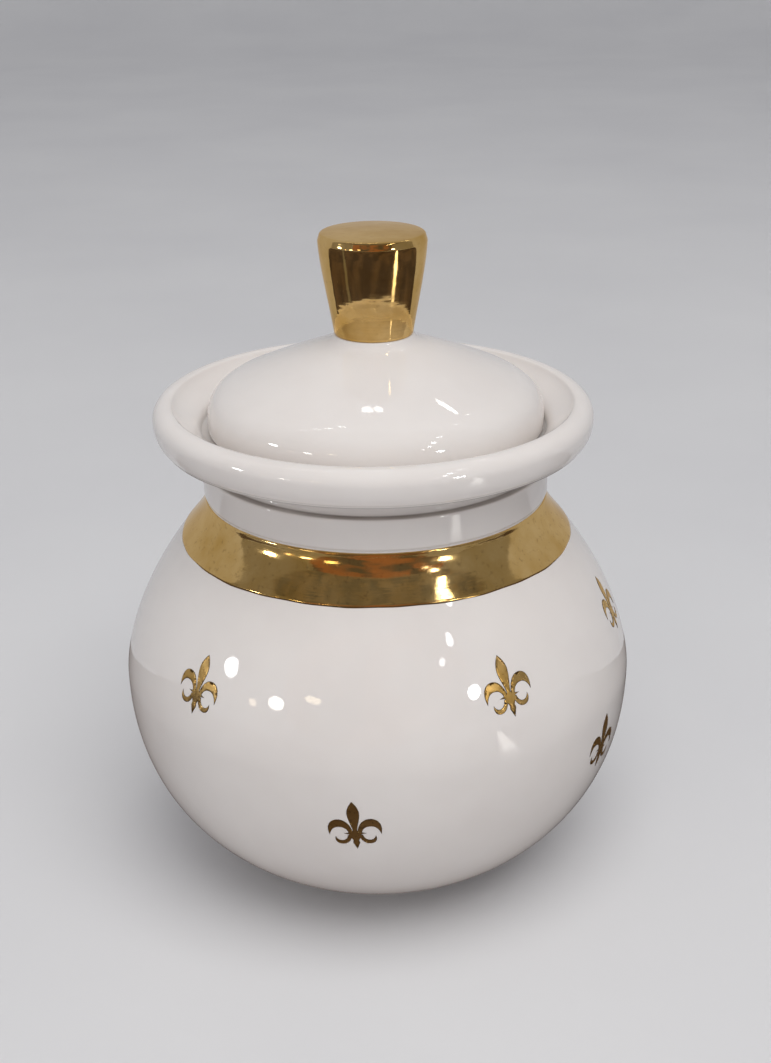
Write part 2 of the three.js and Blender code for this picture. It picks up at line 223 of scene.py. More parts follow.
def super_arc(radius, extent, power, start, end, steps):
    low = math.asin(max(-1, min(1, start / extent)))
    high = math.asin(max(-1, min(1, end / extent)))
    points = []
    for i in range(steps + 1):
        rise = extent * math.sin(low + (high - low) * i / steps)
        points.append((super_radius(radius, extent, power, rise), BELLY_HEIGHT + rise))
    return points


def joined(*runs):
    points = []
    for run in runs:
        for p in run:
            if not points or math.dist(p, points[-1]) > REPEAT_DISTANCE:
                points.append(p)
    return points


def mix(a, b, t):
    return (a[0] + (b[0] - a[0]) * t, a[1] + (b[1] - a[1]) * t)


def raised(point, rise):
    return (point[0], point[1] + rise)


shoulder_rise = super_rise(BELLY_RADIUS, UPPER_RISE, UPPER_POWER, NECK_RADIUS)
neck_foot = BELLY_HEIGHT + shoulder_rise + NECK_STAND
collar_top = neck_foot + COLLAR_HEIGHT
waist_top = collar_top + WAIST_HEIGHT
lip_top = body_high.z
rim_under = lip_top - LIP_HEIGHT
rim_radius = NECK_RADIUS + RIM_OVERHANG
mouth_radius = NECK_RADIUS - NECK_WALL
ledge_radius = mouth_radius + LEDGE_WIDTH
seat_height = rim_under + LEDGE_HEIGHT
foot_top_radius = FOOT_RADIUS + FOOT_FLARE
band_foot = neck_foot - BAND_RISE


def outer_radius(height):
    rise = height - BELLY_HEIGHT
    if rise > 0:
        return super_radius(BELLY_RADIUS, UPPER_RISE, UPPER_POWER, rise)
    return super_radius(BELLY_RADIUS, LOWER_DEPTH, LOWER_POWER, rise)


def shoulder_profile(steps):
    """From the lower edge of the band up to the foot of the neck."""
    start = (outer_radius(band_foot), band_foot)
    end = (NECK_RADIUS - GLAZE_TUCK, neck_foot - GLAZE_TUCK)
    just_above = band_foot + 0.1
    ahead = (outer_radius(just_above), just_above)
    reach = math.dist(start, end) / 3
    leave = mix(start, ahead, reach / math.dist(start, ahead))
    return bezier(start, leave, (NECK_RADIUS, end[1] - reach), end, steps)


def inside_profile():
    radius = BELLY_RADIUS - WALL
    rise = UPPER_RISE - WALL
    depth = BELLY_HEIGHT - FLOOR_HEIGHT
    mouth = super_rise(radius, rise, UPPER_POWER, mouth_radius)
    return joined(
        super_arc(radius, rise, UPPER_POWER, mouth, 0, INSIDE_STEPS),
        super_arc(radius, depth, FLOOR_POWER, 0, -depth, FLOOR_STEPS)[:-1],
        [(0, FLOOR_HEIGHT)],
    )


def bowl_profile():
    ring_inside = FOOT_RADIUS - FOOT_WIDTH
    foot = joined(
        [(0, FOOT_RECESS), (ring_inside - FOOT_FLAT_INSET, FOOT_RECESS)],
        bezier(*((ring_inside + step, height) for step, height in FOOT_COVE), ROUNDING_STEPS),
        arc(
            (FOOT_RADIUS - FOOT_ROUNDING, FOOT_ROUNDING), FOOT_ROUNDING,
            -90, FOOT_TURN_END, ROUNDING_STEPS,
        ),
    )
    belly = joined(
        super_arc(
            BELLY_RADIUS, LOWER_DEPTH, LOWER_POWER,
            -super_rise(BELLY_RADIUS, LOWER_DEPTH, LOWER_POWER, foot_top_radius), 0, LOWER_STEPS,
        ),
        super_arc(
            BELLY_RADIUS, UPPER_RISE, UPPER_POWER, 0, band_foot - BELLY_HEIGHT, UPPER_STEPS,
        ),
    )
    rounding = COLLAR_ROUNDING
    collar = joined(
        arc(
            (NECK_RADIUS - rounding, neck_foot + rounding), rounding,
            COLLAR_TURN_START, 0, SMALL_STEPS,
        ),
        arc(
            (NECK_RADIUS - rounding, collar_top - rounding), rounding,
            0, COLLAR_TURN_END, COLLAR_TOP_STEPS,
        ),
    )
    waist_radius = NECK_RADIUS - WAIST_DEPTH
    edge = (rim_radius - RIM_EDGE_INSET, rim_under)
    waist = joined(
        [(waist_radius, collar_top)],
        bezier(
            (waist_radius, waist_top - WAIST_FILLET), (waist_radius, waist_top),
            (waist_radius + WAIST_FILLET, waist_top + GLAZE_TUCK), (edge[0], edge[1] - GLAZE_TUCK),
            WAIST_STEPS,
        ),
    )
    lip_radius = LIP_THICKNESS / 2
    lip_centre = (rim_radius - lip_radius, lip_top - lip_radius)
    rim_face = bezier(
        edge, (rim_radius - RIM_EDGE_INSET / 2, edge[1] + GLAZE_TUCK),
        (rim_radius, edge[1] + RIM_EDGE_INSET), (rim_radius, lip_centre[1]),
        RIM_FACE_STEPS,
    )
    turn = math.radians(LIP_TURN)
    inwards = LIP_INNER_ROUNDING - lip_radius
    inner_centre = (
        lip_centre[0] - math.cos(turn) * inwards, lip_centre[1] - math.sin(turn) * inwards,
    )
    lip = joined(
        arc(lip_centre, lip_radius, 0, LIP_TURN, LIP_STEPS),
        arc(inner_centre, LIP_INNER_ROUNDING, LIP_TURN, LIP_INNER_TURN, ROUNDING_STEPS),
    )
    start, foot_of_flare = lip[-1], (ledge_radius, seat_height)
    reach = math.dist(start, foot_of_flare) / 3
    turn = math.radians(LIP_INNER_TURN)
    flare = bezier(
        start, (start[0] - math.sin(turn) * reach, start[1] + math.cos(turn) * reach),
        (ledge_radius + FLARE_TOE, seat_height + reach), foot_of_flare, FLARE_STEPS,
    )
    ledge = arc(
        (mouth_radius + INNER_ROUNDING, seat_height - INNER_ROUNDING), INNER_ROUNDING,
        90, 180, ROUNDING_STEPS,
    )
    return joined(
        foot, belly, shoulder_profile(SHOULDER_STEPS), collar, waist, rim_face, lip, flare,
        ledge, inside_profile(),
    )


def lid_profile():
    shoulder = (LID_RADIUS - LID_SHOULDER_WIDTH, LID_BASE + LID_SHOULDER_RISE)
    crown = (KNOB_BASE_RADIUS + LID_FILLET, LID_BASE + LID_CROWN_RISE)
    run = crown[0] - shoulder[0]
    climb = crown[1] - shoulder[1]
    rounding = LID_EDGE_ROUNDING
    edge = arc((LID_RADIUS - rounding, LID_BASE + rounding), rounding, -90, 0, ROUNDING_STEPS)
    rounded = bezier(
        (LID_RADIUS, LID_BASE + LID_EDGE_HEIGHT),
        (LID_RADIUS, LID_BASE + LID_EDGE_HEIGHT + LID_SHOULDER_BULGE),
        (shoulder[0] - run * LID_SHOULDER_EASE, shoulder[1] - LID_SHOULDER_DROP), shoulder,
        LID_SHOULDER_STEPS,
    )
    bulge = climb * LID_DOME_BULGE
    middle = bezier(
        shoulder, raised(mix(shoulder, crown, 1 / 3), bulge),
        raised(mix(shoulder, crown, 2 / 3), bulge), crown, LID_DOME_STEPS,
    )
    landing_radius = KNOB_BASE_RADIUS + LID_LANDING_MARGIN
    ease = LID_FILLET / 6
    fillet = bezier(
        crown, (crown[0] - ease * 3, crown[1] + ease),
        (landing_radius + ease, LID_LANDING - ease * 2), (landing_radius, LID_LANDING),
        LID_FILLET_STEPS,
    )
    tip = FLANGE_ROUNDING
    flange_radius = mouth_radius - FLANGE_CLEARANCE
    flange_inside = flange_radius - FLANGE_WALL
    flange_foot = LID_BASE - FLANGE_DEPTH
    flange = arc((flange_radius - tip, flange_foot + tip), tip, -90, 0, SMALL_STEPS)
    under_shoulder = (flange_inside, LID_BASE + LID_SHOULDER_RISE - LID_WALL)
    under_crown = (LID_HOLE_RADIUS, LID_LANDING - LID_WALL)
    underside = bezier(
        under_crown, raised(mix(under_crown, under_shoulder, 1 / 3), LID_UNDER_BOW),
        raised(mix(under_crown, under_shoulder, 2 / 3), LID_UNDER_BOW), under_shoulder,
        LID_UNDER_STEPS,
    )
    inner_tip = arc((flange_inside + tip, flange_foot + tip), tip, 180, 270, SMALL_STEPS)
    return joined(
        flange, [(flange_radius, LID_BASE)], edge, rounded, middle, fillet,
        [(LID_HOLE_RADIUS, LID_LANDING)], underside, inner_tip, [flange[0]],
    )


def knob_profile():
    height = KNOB_TOP - KNOB_BASE
    edge_centre = (KNOB_TOP_RADIUS - KNOB_TUCK - KNOB_EDGE, KNOB_TOP - KNOB_CROWN - KNOB_EDGE)
    widest = (KNOB_TOP_RADIUS, edge_centre[1] - KNOB_TUCK_RISE)
    side = bezier(
        (KNOB_BASE_RADIUS, KNOB_BASE),
        (KNOB_BASE_RADIUS + KNOB_LOWER_FLARE, KNOB_BASE + height * KNOB_LOWER_REACH),
        (KNOB_TOP_RADIUS - KNOB_UPPER_FLARE, widest[1] - height * KNOB_UPPER_REACH),
        widest, KNOB_SIDE_STEPS,
    )
    edge = arc(edge_centre, KNOB_EDGE, KNOB_EDGE_START, KNOB_EDGE_END, KNOB_EDGE_STEPS)
    lean = math.radians(KNOB_EDGE_START)
    reach = KNOB_TUCK_REACH
    tuck = bezier(
        widest, (widest[0], widest[1] + reach),
        (edge[0][0] + reach * math.sin(lean), edge[0][1] - reach * math.cos(lean)),
        edge[0], ROUNDING_STEPS,
    )
    crown = bezier(
        edge[-1],
        (KNOB_TOP_RADIUS * KNOB_CROWN_OUTER, KNOB_TOP - KNOB_CROWN * KNOB_CROWN_DROP),
        (KNOB_TOP_RADIUS * KNOB_CROWN_INNER, KNOB_TOP), (0, KNOB_TOP), KNOB_CROWN_STEPS,
    )
    hollow_top = KNOB_TOP - KNOB_CROWN - KNOB_WALL
    hollow_radius = KNOB_TOP_RADIUS - KNOB_WALL - KNOB_HOLLOW_TAPER
    hollow = [
        (0, hollow_top), (hollow_radius - HOLLOW_CHAMFER, hollow_top),
        (hollow_radius, hollow_top - HOLLOW_CHAMFER),
        (KNOB_BASE_RADIUS - KNOB_WALL, KNOB_BASE + KNOB_WALL), (DRAIN_RADIUS, KNOB_BASE),
        (DRAIN_RADIUS, LID_LANDING - LID_WALL), (SPIGOT_RADIUS, LID_LANDING - LID_WALL),
        (SPIGOT_RADIUS, KNOB_BASE),
    ]
    outline = joined(hollow, side, tuck, edge, crown)
    return list(reversed(outline))


# ---------- hand-made unevenness ----------

RIM_SLUMP = 0.35
LID_SHIFT = 0.2
# radius and height at which a wobble has reached its full size
WOBBLE_RADIUS = 20
WOBBLE_HEIGHT = 30
KNOB_WOBBLE_RADIUS = 6
# waves round the axis: size, number round the circle, start
BOWL_WAVES = ((0.07, 2, 0.6), (0.04, 3, 2.1))
LID_WAVES = ((0.06, 2, 2.4), (0.03, 5, 0))
PAINTED_WAVES = ((0.10, 3, 1.0), (0.06, 11, 0.4), (0.035, 29, 2.0))
# one wave that twists as it climbs: size, number round the circle, twist per millimetre
BOWL_SWELL = (0.03, 5, 0.09)
KNOB_SWELL = (0.03, 3, 0.2)


def waves(angle, terms):
    return sum(size * math.sin(count * angle + start) for size, count, start in terms)


def swell(angle, height, term):
    size, count, twist = term
    return size * math.sin(count * angle + height * twist)


def bowl_wobble(angle, radius, height):
    """How far the cast bowl strays from round, which grows towards the rim."""
    reach = min(1, radius / WOBBLE_RADIUS) * min(1, height / WOBBLE_HEIGHT)
    neck = max(0, min(1, (height - neck_foot) / (lip_top - neck_foot)))
    stray = waves(angle, BOWL_WAVES) + swell(angle, height, BOWL_SWELL)
    return stray * reach - RIM_SLUMP * neck * math.sin(angle)


def lid_wobble(angle, radius, _height):
    stray = waves(angle, LID_WAVES) + LID_SHIFT * math.sin(angle)
    return min(1, radius / WOBBLE_RADIUS) * stray


def knob_wobble(angle, radius, height):
    return min(1, radius / KNOB_WOBBLE_RADIUS) * swell(angle, height, KNOB_SWELL)


# ---------- meshes ----------


def new_piece(name, mesh, body, replaced, materials):
    piece = bpy.data.objects.new(name, mesh)
    bpy.context.scene.collection.objects.link(piece)
    for material in materials:
        mesh.materials.append(material)
    for polygon in mesh.polygons:
        polygon.use_smooth = True
    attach(piece, body)
    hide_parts(replaced)


def turned(angle, radius, height):
    """A point at an angle from the front towards +X."""
    return Vector((radius * math.sin(angle), -radius * math.cos(angle), height)) * MM


def lathe_mesh(name, profile, segments, wobble, edge_lift=None):
    """A closed surface of revolution. Points on the axis become one pole each."""
    closed = math.dist(profile[0], profile[-1]) < AXIS_DISTANCE
    rows = profile[:-1] if closed else profile
    bm = bmesh.new()
    rings = []
    for row, (radius, height) in enumerate(rows):
        if radius < AXIS_DISTANCE:
            rings.append([bm.verts.new(turned(0, 0, height))])
            continue
        ring = []
        for i in range(segments):
            angle = 2 * math.pi * i / segments
            r, h = radius, height
            if edge_lift:
                r, h = edge_lift(row, angle, r, h)
            ring.append(bm.verts.new(turned(angle, r + wobble(angle, r, h), h)))
        rings.append(ring)
    pairs = list(zip(rings, rings[1:]))
    if closed:
        pairs.append((rings[-1], rings[0]))
    for lower, upper in pairs:
        for i in range(segments):
            j = (i + 1) % segments
            if len(lower) == 1:
                bm.faces.new((lower[0], upper[j], upper[i]))
            elif len(upper) == 1:
                bm.faces.new((lower[i], lower[j], upper[0]))
            else:
                bm.faces.new((lower[i], lower[j], upper[j], upper[i]))
    bmesh.ops.recalc_face_normals(bm, faces=bm.faces)
    mesh = bpy.data.meshes.new(name)
    bm.to_mesh(mesh)
    bm.free()
    return mesh


def offset(points, distance):
    """The profile moved outwards, each point along its own normal."""
    moved = []
    for i, p in enumerate(points):
        before = points[max(i - 1, 0)]
        after = points[min(i + 1, len(points) - 1)]
        length = math.dist(before, after)
        along = ((after[0] - before[0]) / length, (after[1] - before[1]) / length)
        moved.append((p[0] + along[1] * distance, p[1] - along[0] * distance))
    return moved


# ---------- materials ----------


class Shader:
    """A short way to make nodes and join them."""

    def __init__(self, name):
        self.material = bpy.data.materials.new(name)
        self.material.use_nodes = True
        self.nodes = self.material.node_tree.nodes
        self.links = self.material.node_tree.links
        self.bsdf = self.nodes["Principled BSDF"]
        self.coords = self.nodes.new("ShaderNodeTexCoord").outputs["Object"]
        apart = self.nodes.new("ShaderNodeSeparateXYZ")
        self.put(self.coords, apart.inputs[0])
        self.height = apart.outputs["Z"]

    def put(self, value, socket):
        if isinstance(value, bpy.types.NodeSocket):
            self.links.new(value, socket)
        else:
            socket.default_value = value

    def noise(self, size, detail=2.0, roughness=0.5, stretch=(1, 1, 1), seed=0.0):
        """Noise whose features are about size metres across."""
        mapping = self.nodes.new("ShaderNodeMapping")
        self.put(self.coords, mapping.inputs["Vector"])
        mapping.inputs["Scale"].default_value = stretch
        mapping.inputs["Location"].default_value = (seed, seed * 0.7, -seed)
        node = self.nodes.new("ShaderNodeTexNoise")
        self.put(mapping.outputs["Vector"], node.inputs["Vector"])
        node.inputs["Scale"].default_value = 1 / size
        node.inputs["Detail"].default_value = detail
        node.inputs["Roughness"].default_value = roughness
        return node.outputs["Fac"]

    def specks(self, spacing, size):
        """Sparse dots: 1 inside a dot, 0 outside."""
        node = self.nodes.new("ShaderNodeTexVoronoi")
        self.put(self.coords, node.inputs["Vector"])
        node.inputs["Scale"].default_value = 1 / spacing
        return self.ramp(node.outputs["Distance"], size / spacing, size / spacing * 0.5)

    def ramp(self, value, start, end, low=0.0, high=1.0):
        node = self.nodes.new("ShaderNodeMapRange")
        self.put(value, node.inputs["Value"])
        node.inputs["From Min"].default_value = start
        node.inputs["From Max"].default_value = end
        node.inputs["To Min"].default_value = low
        node.inputs["To Max"].default_value = high
        return node.outputs["Result"]

    def glow(self, strength):
        """Takes the surface away and gives an emission node in its place."""
        self.nodes.remove(self.bsdf)
        node = self.nodes.new("ShaderNodeEmission")
        node.inputs["Strength"].default_value = strength
        self.material.cycles.emission_sampling = "NONE"
        return node

    def surface(self, shader):
        self.put(shader, self.nodes["Material Output"].inputs["Surface"])

    def math(self, operation, a, b):
        node = self.nodes.new("ShaderNodeMath")
        node.operation = operation
        self.put(a, node.inputs[0])
        self.put(b, node.inputs[1])
        return node.outputs["Value"]

    def colour_mix(self, factor, a, b):
        node = self.nodes.new("ShaderNodeMix")
        node.data_type = "RGBA"
        self.put(factor, node.inputs[0])
        self.put(a, node.inputs[6])
        self.put(b, node.inputs[7])
        return node.outputs[2]

    def bump(self, height, distance, strength=1.0, normal=None):
        node = self.nodes.new("ShaderNodeBump")
        self.put(height, node.inputs["Height"])
        node.inputs["Distance"].default_value = distance
        node.inputs["Strength"].default_value = strength
        if normal is not None:
            self.put(normal, node.inputs["Normal"])
        return node.outputs["Normal"]


def rgb(r, g, b):
    return (r, g, b, 1.0)


GLAZE_CREAM = (0.79, 0.745, 0.715)
GLAZE_WHITE = (0.825, 0.785, 0.755)
IRON_SPECK = (0.30, 0.20, 0.13)
CREASE_SHADE = (0.16, 0.125, 0.10)
CREASE_HALF_WIDTH = 0.00025
CLAY_DARK = (0.66, 0.60, 0.52)
CLAY_LIGHT = (0.74, 0.69, 0.61)
CLAY_GRAIN = (0.58, 0.52, 0.44)
GOLD_THIN = (0.60, 0.37, 0.105)
GOLD_THICK = (0.76, 0.53, 0.225)
GOLD_WORN = (0.26, 0.15, 0.055)
GOLD_TINT = (1.0, 0.90, 0.72)
EDGE_DARK = (0.10, 0.062, 0.028)
EDGE_LIGHT = (0.23, 0.15, 0.065)


def glaze_material(name, shaded_creases=()):
    """Warm white gloss glaze: slow cream mottling, orange-peel, a few pinholes and specks.

    At each crease height given, a thin dark line of painted shade is drawn into the colour.
    """
    s = Shader(name)
    mottle = s.ramp(s.noise(0.022, detail=3, roughness=0.55), 0.35, 0.65)
    base = s.colour_mix(mottle, rgb(*GLAZE_CREAM), rgb(*GLAZE_WHITE))
    groups = s.ramp(s.noise(0.016, detail=0, seed=3.1), 0.62, 0.66)
    iron = s.math("MULTIPLY", s.specks(spacing=0.011, size=0.00022), groups)
    base = s.colour_mix(iron, base, rgb(*IRON_SPECK))
    # painted shade: a thin dark line in the glaze colour at each crease height, where shade falls
    for crease in shaded_creases:
        away = s.math("ABSOLUTE", s.math("SUBTRACT", s.height, crease * MM), 0)
        shade_strength = s.ramp(mottle, 0, 1, low=0.5, high=0.9)
        line = s.math("MULTIPLY", s.ramp(away, CREASE_HALF_WIDTH, 0), shade_strength)
        base = s.colour_mix(line, base, rgb(*CREASE_SHADE))
    s.put(base, s.bsdf.inputs["Base Color"])
    gloss = s.ramp(s.noise(0.006, detail=2, seed=1.7), 0.3, 0.7, low=0.018, high=0.045)
    s.put(gloss, s.bsdf.inputs["Roughness"])
    wave = s.bump(s.noise(0.0075, detail=1, roughness=0.4, seed=5.0), distance=0.00006)
    ripple = s.noise(0.0016, detail=1, roughness=0.5, seed=2.2)
    peel = s.bump(ripple, distance=0.0000035, normal=wave)
    level = s.math("SUBTRACT", 1.0, s.specks(spacing=0.009, size=0.00018))
    pits = s.bump(level, distance=0.00003, normal=peel)
    s.put(pits, s.bsdf.inputs["Normal"])
    s.bsdf.inputs["IOR"].default_value = 1.52
    s.bsdf.inputs["Subsurface Weight"].default_value = 0.05
    s.bsdf.inputs["Subsurface Radius"].default_value = (1.0, 0.85, 0.7)
    s.bsdf.inputs["Subsurface Scale"].default_value = 0.0006
    return s.material


def bisque_material():
    """Bare fired clay on the foot, where no glaze may run."""
    s = Shader("bare_clay")
    grain = s.noise(0.0006, detail=4, roughness=0.7)
    stain = s.ramp(s.noise(0.005, detail=3, seed=2.0), 0.3, 0.7)
    clay = s.colour_mix(stain, rgb(*CLAY_DARK), rgb(*CLAY_LIGHT))
    grained = s.colour_mix(s.ramp(grain, 0.3, 0.7), clay, rgb(*CLAY_GRAIN))
    s.put(grained, s.bsdf.inputs["Base Color"])
    s.put(s.ramp(grain, 0.3, 0.7, low=0.65, high=0.85), s.bsdf.inputs["Roughness"])
    s.put(s.bump(grain, distance=0.00005), s.bsdf.inputs["Normal"])
    return s.material


def gold_material(name, brushing, worn, smooth, cloudy, pitting):
    """Mirror gold lustre: thin and thick patches, brush marks round the bowl, tiny pits."""
    s = Shader(name)
    patch = s.ramp(s.noise(0.009, detail=4, roughness=0.6, seed=4.0), 0.32, 0.68)
    thick = s.colour_mix(patch, rgb(*GOLD_THIN), rgb(*GOLD_THICK))
    fine = s.ramp(s.noise(0.0011, detail=3, roughness=0.65, seed=9.0), 0.42, 0.30)
    dull = s.math("MULTIPLY", fine, worn)
    s.put(s.colour_mix(dull, thick, rgb(*GOLD_WORN)), s.bsdf.inputs["Base Color"])
    s.bsdf.inputs["Metallic"].default_value = 1.0
    smear = s.noise(0.004, detail=4, roughness=0.6, seed=6.0)
    s.put(s.ramp(smear, 0.3, 0.75, low=smooth, high=cloudy), s.bsdf.inputs["Roughness"])
    wave = s.bump(s.noise(0.0055, detail=2, roughness=0.5, seed=8.0), distance=0.00007)
    marks = s.noise(0.02, detail=3, roughness=0.6, stretch=(1, 1, brushing), seed=1.0)
    brush = s.bump(marks, distance=0.00003, normal=wave)
    grit = s.noise(0.0007, detail=2, roughness=0.5, seed=7.0)
    pits = s.bump(grit, distance=pitting, normal=brush)
    s.put(pits, s.bsdf.inputs["Normal"])
    s.bsdf.inputs["Specular Tint"].default_value = rgb(*GOLD_TINT)
    return s.material


def gold_edge_material():
    """The thin brown line where the lustre feathers out."""
    s = Shader("gold_edge")
    patch = s.ramp(s.noise(0.0012, detail=3, seed=2.5), 0.35, 0.65)
    brown = s.colour_mix(patch, rgb(*EDGE_DARK), rgb(*EDGE_LIGHT))
    s.put(brown, s.bsdf.inputs["Base Color"])
    s.bsdf.inputs["Metallic"].default_value = 0.85
    s.put(s.ramp(patch, 0, 1, low=0.25, high=0.42), s.bsdf.inputs["Roughness"])
    s.put(s.bump(patch, distance=0.00002), s.bsdf.inputs["Normal"])
    return s.material


# painted shade lines under the rim's edge and at the top of the collar
bowl_glaze = glaze_material("bowl_glaze", shaded_creases=(rim_under - GLAZE_TUCK, collar_top))
lid_glaze = glaze_material("lid_glaze")
bare_clay = bisque_material()
band_gold = gold_material("band_gold", 14, worn=0.35, smooth=0.04, cloudy=0.17, pitting=0.000004)
knob_gold = gold_material("knob_gold", 6, worn=0.2, smooth=0.03, cloudy=0.11, pitting=0.000003)
decal_gold = gold_material("decal_gold", 1, worn=0.6, smooth=0.22, cloudy=0.42, pitting=0.000022)
gold_edge = gold_edge_material()

# ---------- bowl ----------

# no glaze below this height
DRY_HEIGHT = 0.5


def make_bowl():
    mesh = lathe_mesh("glazed_bowl", bowl_profile(), SEGMENTS, bowl_wobble)
    new_piece("glazed_bowl", mesh, "bowl", "bowl_body", [bowl_glaze, bare_clay])
    for polygon in mesh.polygons:
        if polygon.center.z < DRY_HEIGHT * MM:
            polygon.material_index = 1


# ---------- gold band ----------

# rows of the band over which the painted edge fades out
PAINTED_ROWS = 5


def make_band():
    line = shoulder_profile(BAND_STEPS)
    outer = offset(line, BAND_THICKNESS)
    inner = offset(line, -SUNK)
    outer[0] = mix(line[0], outer[0], BAND_FEATHER)
    outer[-1] = mix(line[-1], outer[-1], BAND_FEATHER)
    profile = inner + list(reversed(outer)) + [inner[0]]
    length = math.dist(line[0], line[1])
    slope = ((line[1][0] - line[0][0]) / length, (line[1][1] - line[0][1]) / length)

    def painted_edge(row, angle, radius, height):
        """The lower edge wanders as it was painted by hand."""
        last = len(profile) - 2
        near = min(row, last - row) if row <= BAND_STEPS else last - row
        fade = max(0.0, 1 - near / PAINTED_ROWS)
        stray = waves(angle, PAINTED_WAVES) * fade
        return radius + slope[0] * stray, height + slope[1] * stray

    mesh = lathe_mesh("gold_band", profile, SEGMENTS, bowl_wobble, painted_edge)
    new_piece("gold_band", mesh, "bowl", "shoulder_band", [band_gold, gold_edge])


# ---------- fleur-de-lis ----------

# Outlines in millimetres from the knot, tip up: a start point and its cubic stretches.
LEAF = ((0, 7), [
    (-0.7, 6.2, -1.15, 5.2, -1.08, 4.2), (-1, 2.9, -0.45, 1.8, -0.3, 0),
    (-0.1, -0.05, 0.1, -0.05, 0.3, 0), (0.45, 1.8, 1, 2.9, 1.08, 4.2),
    (1.15, 5.2, 0.7, 6.2, 0, 7),
])
PETAL = ((0.3, -0.2), [
    (0.8, -0.5, 1, -0.5, 1.1, -0.2), (1.2, 0.9, 1.8, 1.5, 2.75, 1.5),
    (3.7, 1.5, 4.2, 0.7, 4.45, -0.4), (5, 1.6, 4.3, 3.1, 2.9, 3.2),
    (1.1, 3.3, 0.45, 1.2, 0.3, -0.2),
])
CRESCENT = ((0.6, -0.6), [
    (0.9, -1.9, 1.5, -2.5, 2.3, -2.55), (3.2, -2.6, 3.85, -1.8, 3.45, -0.65),
    (3.3, -1.3, 2.9, -1.7, 2.35, -1.65), (1.8, -1.6, 1.4, -1.1, 1.3, -0.4),
    (1.1, -0.3, 0.8, -0.3, 0.6, -0.6),
])
NUB = [(0.6, -0.35), (2, -0.02), (0.6, 0.3)]
GRID_SPACING = 0.45
GRID_COLUMNS = range(-12, 13)
GRID_ROWS = range(-9, 17)
KNOT = [
    (0, -3.9), (0.6, -2.3), (0.5, -1.7), (0.9, -0.9), (1, 0.1), (0, 0.95),
    (-1, 0.1), (-0.9, -0.9), (-0.5, -1.7), (-0.6, -2.3),
]


def traced(outline):
    start, stretches = outline
    points = [start]
    for x1, y1, x2, y2, x3, y3 in stretches:
        points += bezier(points[-1], (x1, y1), (x2, y2), (x3, y3), TRACE_STEPS)[1:]
    return points[:-1]


def mirrored(points):
    return [(-x, y) for x, y in reversed(points)]


def fleur_sheet():
    """The flat drawing as triangles over the union of its shapes."""
    sides = [traced(PETAL), traced(CRESCENT), NUB]
    shapes = [traced(LEAF), KNOT, *sides, *[mirrored(shape) for shape in sides]]
    points, faces = [], []
    for shape in shapes:
        faces.append(list(range(len(points), len(points) + len(shape))))
        points += [Vector(p) for p in shape]
    for i in GRID_COLUMNS:
        for j in GRID_ROWS:
            points.append(Vector(((i + 0.5 * (j % 2)) * GRID_SPACING, j * GRID_SPACING)))
    only_inside = 1
    smallest_gap = 1e-4
    vertices, _, triangles, *_ = geometry.delaunay_2d_cdt(
        points, [], faces, only_inside, smallest_gap,
    )
    return vertices, triangles


sheet_vertices, sheet_triangles = fleur_sheet()


def make_fleur(name, node, place, row_height):
    """The drawing laid on the belly, with a feathered brown rim and a closed back."""
    angle0, lean = math.radians(place[0]), math.radians(place[2])
    height0 = row_height - place[1]
    below, above = outer_radius(height0 - 1), outer_radius(height0 + 1)
    climb = 2 / math.hypot(2, above - below)
    bm = bmesh.new()
    flat = [bm.verts.new((v.x, v.y, 0)) for v in sheet_vertices]
    for a, b, c in sheet_triangles:
        bm.faces.new((flat[a], flat[b], flat[c]))
    loose = [v for v in bm.verts if not v.link_faces]
    bmesh.ops.delete(bm, geom=loose, context="VERTS")
    rim = bmesh.ops.inset_region(
        bm, faces=bm.faces[:], thickness=DECAL_RIM_WIDTH, use_even_offset=True,
        use_boundary=True,
    )["faces"]
    for face in rim:
        face.material_index = 1
    bm.verts.ensure_lookup_table()
    edge_verts = {v for e in bm.edges if e.is_boundary for v in e.verts}
    tops = {
        v: (DECAL_RIM_THINNING if v in edge_verts else 1.0) * DECAL_THICKNESS for v in bm.verts
    }

    def laid(x, y, lift):
        across = x * math.cos(lean) - y * math.sin(lean)
        along = x * math.sin(lean) + y * math.cos(lean)
        height = height0 + along * climb
        radius = outer_radius(height)
        lean_in = outer_radius(height + 0.5) - outer_radius(height - 0.5)
        size = math.hypot(1, lean_in)
        out, up = lift / size, -lift * lean_in / size
        angle = angle0 + across / radius
        return turned(angle, radius + out + bowl_wobble(angle, radius, height), height + up)

    top_faces = list(bm.faces)
    twin = {v: bm.verts.new(v.co) for v in list(bm.verts)}
    for face in top_faces:
        back = bm.faces.new([twin[v] for v in reversed(face.verts)])
        back.material_index = 1
    for edge in [e for e in bm.edges if e.is_boundary and e.link_faces[0] in set(top_faces)]:
        face = edge.link_faces[0]
        a, b = edge.verts
        order = [loop.vert for loop in face.loops]
        if order[(order.index(a) + 1) % len(order)] is not b:
            a, b = b, a
        bm.faces.new((b, a, twin[a], twin[b])).material_index = 1
    for top, back in twin.items():
        x, y = top.co.x, top.co.y
        top.co = laid(x, y, tops[top])
        back.co = laid(x, y, -SUNK)
    bmesh.ops.recalc_face_normals(bm, faces=bm.faces)
    mesh = bpy.data.meshes.new(name)
    bm.to_mesh(mesh)
    bm.free()
    new_piece(name, mesh, "bowl", node, [decal_gold, gold_edge])


# ---------- lid and knob ----------


def make_lid():
    mesh = lathe_mesh("glazed_lid", lid_profile(), SEGMENTS, lid_wobble)
    new_piece("glazed_lid", mesh, "lid", "lid_dome", [lid_glaze])


def make_knob():
    mesh = lathe_mesh("gold_knob", knob_profile(), KNOB_SEGMENTS, knob_wobble)
    new_piece("gold_knob", mesh, "lid", "lid_knob", [knob_gold])


